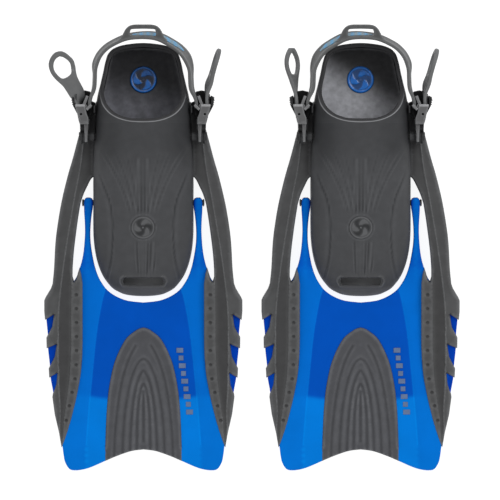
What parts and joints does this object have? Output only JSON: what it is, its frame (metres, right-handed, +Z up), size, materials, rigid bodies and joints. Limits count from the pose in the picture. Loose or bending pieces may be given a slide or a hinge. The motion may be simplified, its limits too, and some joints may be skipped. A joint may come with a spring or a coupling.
{
  "type": "open-heel snorkel fins",
  "caption": "Pair of snorkel swim fins: rubber foot pockets and rails, hinged blue blades with grey inserts, quick-release heel straps with thumb loops.",
  "frame": {"origin": "middle of the pair on the floor, halfway between the heel strap rings and the blade tips", "axes": "+X across the pair, to the wearer's side where the second fin lies; +Y from the blade tips to the heels; +Z up"},
  "size_m": [0.4284, 0.4594, 0.0794],
  "materials": {
    "pocket_rubber": "matt dark grey thermoplastic rubber",
    "footbed_rubber": "matt dark grey rubber with a worn sheen",
    "rail_rubber": "matt dark grey rubber",
    "blade_blue": "glossy blue polypropylene",
    "insert_rubber": "matt dark grey rubber",
    "mark_print": "grey moulded mark",
    "badge_blue": "glossy blue plastic",
    "badge_grey": "matt dark grey rubber",
    "clip_black": "black acetal",
    "buckle_grey": "satin dark grey nylon",
    "strap_rubber": "satin dark grey rubber",
    "inlay_blue": "blue printed rubber",
    "pin_plastic": "dark blue plastic pin"
  },
  "bodies": {
    "foot_pockets": {"left_foot_pocket": "pocket_rubber", "left_footbed": "footbed_rubber", "left_heel_badge": "badge_blue", "left_instep_badge": "badge_grey", "left_rail_upper_outer": "rail_rubber", "left_rail_upper_inner": "rail_rubber", "left_pivot_pins": "pin_plastic", "left_strap_posts": "clip_black", "right_foot_pocket": "pocket_rubber", "right_footbed": "footbed_rubber", "right_heel_badge": "badge_blue", "right_instep_badge": "badge_grey", "right_rail_upper_outer": "rail_rubber", "right_rail_upper_inner": "rail_rubber", "right_pivot_pins": "pin_plastic", "right_strap_posts": "clip_black"},
    "left_blade_unit": {"left_blade": "blade_blue", "left_centre_insert": "insert_rubber", "left_blade_mark": "mark_print", "left_rail_lower_outer": "rail_rubber", "left_rail_lower_inner": "rail_rubber"},
    "left_clips": {"left_clip_outer": "clip_black", "left_clip_inner": "clip_black"},
    "left_buckles": {"left_buckle_outer": "buckle_grey", "left_buckle_inner": "buckle_grey", "left_rollers": "clip_black"},
    "left_strap": {"left_heel_strap": "strap_rubber", "left_strap_inlay": "inlay_blue"},
    "left_loops": {"left_thumb_loop_outer": "strap_rubber", "left_thumb_loop_inner": "strap_rubber"},
    "left_tab_outer_out_body": {"left_tab_outer_out": "clip_black"},
    "left_tab_outer_in_body": {"left_tab_outer_in": "clip_black"},
    "left_tab_inner_out_body": {"left_tab_inner_out": "clip_black"},
    "left_tab_inner_in_body": {"left_tab_inner_in": "clip_black"},
    "right_blade_unit": {"right_blade": "blade_blue", "right_centre_insert": "insert_rubber", "right_blade_mark": "mark_print", "right_rail_lower_outer": "rail_rubber", "right_rail_lower_inner": "rail_rubber"},
    "right_clips": {"right_clip_outer": "clip_black", "right_clip_inner": "clip_black"},
    "right_buckles": {"right_buckle_outer": "buckle_grey", "right_buckle_inner": "buckle_grey", "right_rollers": "clip_black"},
    "right_strap": {"right_heel_strap": "strap_rubber", "right_strap_inlay": "inlay_blue"},
    "right_loops": {"right_thumb_loop_outer": "strap_rubber", "right_thumb_loop_inner": "strap_rubber"},
    "right_tab_outer_out_body": {"right_tab_outer_out": "clip_black"},
    "right_tab_outer_in_body": {"right_tab_outer_in": "clip_black"},
    "right_tab_inner_out_body": {"right_tab_inner_out": "clip_black"},
    "right_tab_inner_in_body": {"right_tab_inner_in": "clip_black"}
  },
  "joints": [
    {"name": "left_blade_pivot", "type": "hinge", "parent": "foot_pockets", "child": "left_blade_unit", "pos_m": [-0.112, 0.04673, 0.024], "axis": [1, 0, 0], "range_deg": [-20, 20], "stiffness_Nm_per_rad": 10},
    {"name": "left_strap_swing", "type": "hinge", "parent": "foot_pockets", "child": "left_clips", "pos_m": [-0.112, 0.11473, 0.044], "axis": [1, 0, 0], "range_deg": [-5, 75]},
    {"name": "left_strap_release", "type": "slide", "parent": "left_clips", "child": "left_buckles", "axis": [0, 1, 0], "range_m": [0, 0.025]},
    {"name": "left_strap_adjust", "type": "slide", "parent": "left_buckles", "child": "left_strap", "axis": [0, -1, 0], "range_m": [0, 0.008]},
    {"name": "left_loops_pull", "type": "slide", "parent": "left_buckles", "child": "left_loops", "axis": [0, 1, 0], "range_m": [0, 0.008]},
    {"name": "left_tab_outer_out_press", "type": "slide", "parent": "left_clips", "child": "left_tab_outer_out_body", "axis": [1, 0, 0], "range_m": [0, 0.001], "stiffness_N_per_m": 1500},
    {"name": "left_tab_outer_in_press", "type": "slide", "parent": "left_clips", "child": "left_tab_outer_in_body", "axis": [-1, 0, 0], "range_m": [0, 0.001], "stiffness_N_per_m": 1500},
    {"name": "left_tab_inner_out_press", "type": "slide", "parent": "left_clips", "child": "left_tab_inner_out_body", "axis": [-1, 0, 0], "range_m": [0, 0.001], "stiffness_N_per_m": 1500},
    {"name": "left_tab_inner_in_press", "type": "slide", "parent": "left_clips", "child": "left_tab_inner_in_body", "axis": [1, 0, 0], "range_m": [0, 0.001], "stiffness_N_per_m": 1500},
    {"name": "right_blade_pivot", "type": "hinge", "parent": "foot_pockets", "child": "right_blade_unit", "pos_m": [0.112, 0.04673, 0.024], "axis": [1, 0, 0], "range_deg": [-20, 20], "stiffness_Nm_per_rad": 10},
    {"name": "right_strap_swing", "type": "hinge", "parent": "foot_pockets", "child": "right_clips", "pos_m": [0.112, 0.11473, 0.044], "axis": [1, 0, 0], "range_deg": [-5, 75]},
    {"name": "right_strap_release", "type": "slide", "parent": "right_clips", "child": "right_buckles", "axis": [0, 1, 0], "range_m": [0, 0.025]},
    {"name": "right_strap_adjust", "type": "slide", "parent": "right_buckles", "child": "right_strap", "axis": [0, -1, 0], "range_m": [0, 0.008]},
    {"name": "right_loops_pull", "type": "slide", "parent": "right_buckles", "child": "right_loops", "axis": [0, 1, 0], "range_m": [0, 0.008]},
    {"name": "right_tab_outer_out_press", "type": "slide", "parent": "right_clips", "child": "right_tab_outer_out_body", "axis": [-1, 0, 0], "range_m": [0, 0.001], "stiffness_N_per_m": 1500},
    {"name": "right_tab_outer_in_press", "type": "slide", "parent": "right_clips", "child": "right_tab_outer_in_body", "axis": [1, 0, 0], "range_m": [0, 0.001], "stiffness_N_per_m": 1500},
    {"name": "right_tab_inner_out_press", "type": "slide", "parent": "right_clips", "child": "right_tab_inner_out_body", "axis": [1, 0, 0], "range_m": [0, 0.001], "stiffness_N_per_m": 1500},
    {"name": "right_tab_inner_in_press", "type": "slide", "parent": "right_clips", "child": "right_tab_inner_in_body", "axis": [-1, 0, 0], "range_m": [0, 0.001], "stiffness_N_per_m": 1500}
  ],
  "couplings": [
    {"joint": "left_loops_pull", "follows": "left_strap_adjust", "ratio": 1},
    {"joint": "left_tab_outer_in_press", "follows": "left_tab_outer_out_press", "ratio": 1},
    {"joint": "left_tab_inner_in_press", "follows": "left_tab_inner_out_press", "ratio": 1},
    {"joint": "right_loops_pull", "follows": "right_strap_adjust", "ratio": 1},
    {"joint": "right_tab_outer_in_press", "follows": "right_tab_outer_out_press", "ratio": 1},
    {"joint": "right_tab_inner_in_press", "follows": "right_tab_inner_out_press", "ratio": 1}
  ]
}
